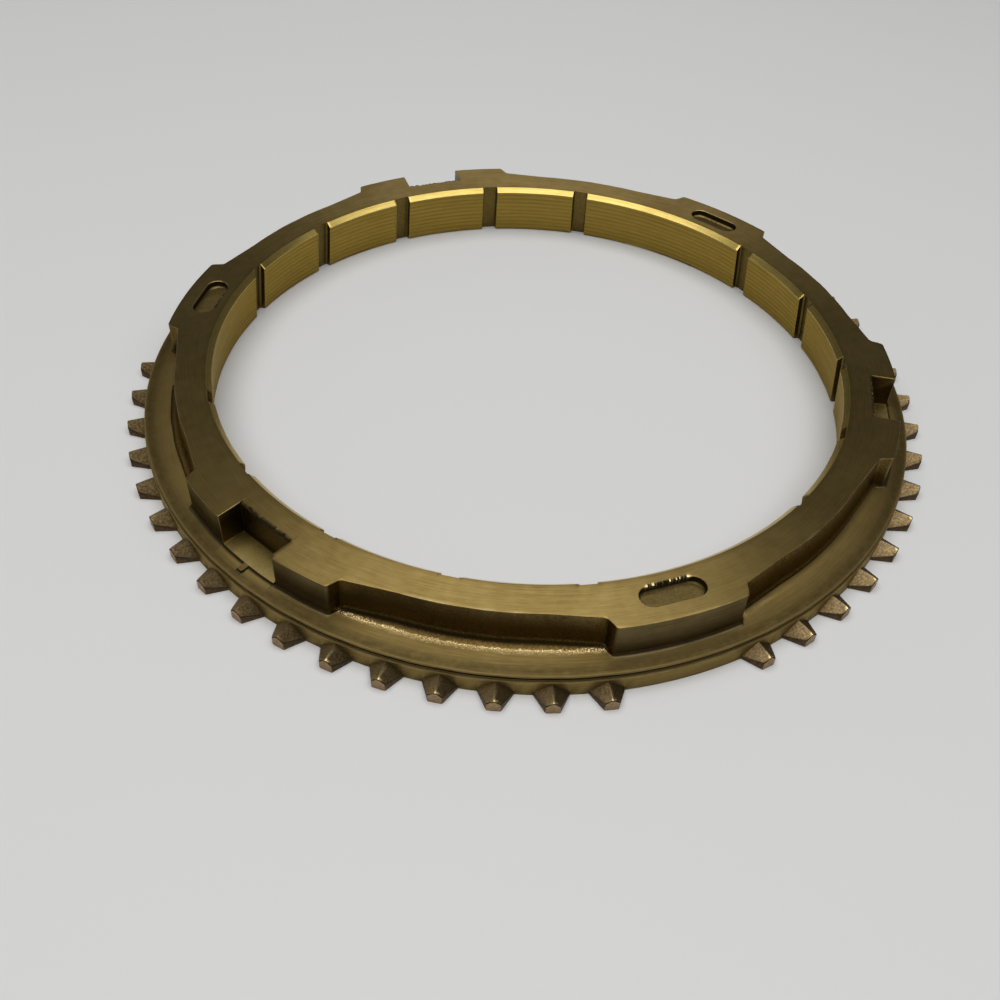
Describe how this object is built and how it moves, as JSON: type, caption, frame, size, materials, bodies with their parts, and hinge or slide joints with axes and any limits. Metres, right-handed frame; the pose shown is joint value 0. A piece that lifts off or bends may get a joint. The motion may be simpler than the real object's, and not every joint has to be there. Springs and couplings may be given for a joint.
{
  "type": "synchronizer ring",
  "caption": "Brass synchronizer ring with an oil-grooved inner friction cone, dog teeth with roof chamfers around a flange, turned pads, and key slots and pockets in its collar.",
  "frame": {"origin": "axis of the friction cone at the toothed face, on which the ring lies", "axes": "+Z along the cone axis, from the toothed face to the top face; one pocket points along -Y"},
  "size_m": [0.165, 0.1638, 0.012],
  "materials": {
    "brass": "forged and turned, satin, with dark forged walls"
  },
  "bodies": {
    "root": {"synchronizer_ring": "brass"}
  },
  "joints": []
}
